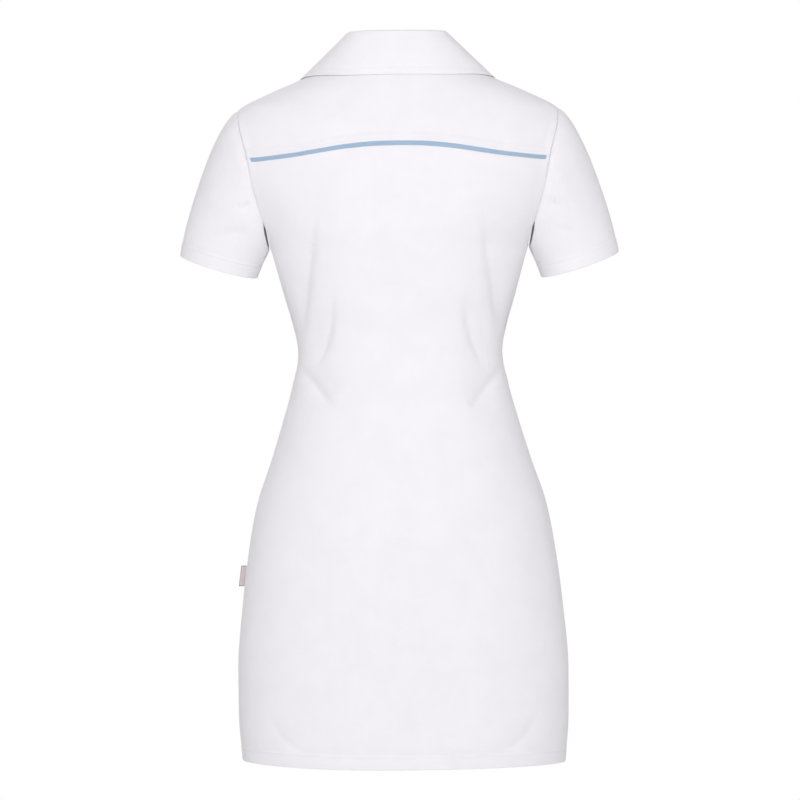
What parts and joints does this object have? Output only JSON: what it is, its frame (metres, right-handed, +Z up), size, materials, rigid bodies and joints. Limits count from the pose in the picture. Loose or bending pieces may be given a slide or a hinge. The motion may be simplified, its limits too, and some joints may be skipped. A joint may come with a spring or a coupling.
{
  "type": "polo dress",
  "caption": "Women's short-sleeved polo dress of white cotton with a folded collar, a piped back yoke and a shaped waist, filled out and held by its wearer's shoulders.",
  "frame": {"origin": "between the shoulders, in the middle of the neck opening, about level with the lower edge of the collar's leaf, where the wearer's shoulders hold the dress up", "axes": "+Z up, the front faces -Y, +X towards the wearer's left sleeve"},
  "size_m": [0.557, 0.2542, 0.9281],
  "materials": {
    "white_cotton": "fine cotton knit, matt",
    "blue_piping": "flat woven tape, matt",
    "white_button": "moulded polyester resin, glossy",
    "woven_label": "damask-woven ribbon, satin"
  },
  "bodies": {
    "root": {"back": "white_cotton", "yoke": "white_cotton", "front": "white_cotton", "sleeve_left": "white_cotton", "sleeve_right": "white_cotton", "collar": "white_cotton", "placket_upper": "white_cotton", "placket_under": "white_cotton", "piping": "blue_piping", "label": "woven_label", "button_1": "white_button", "button_2": "white_button", "button_3": "white_button"}
  },
  "joints": []
}
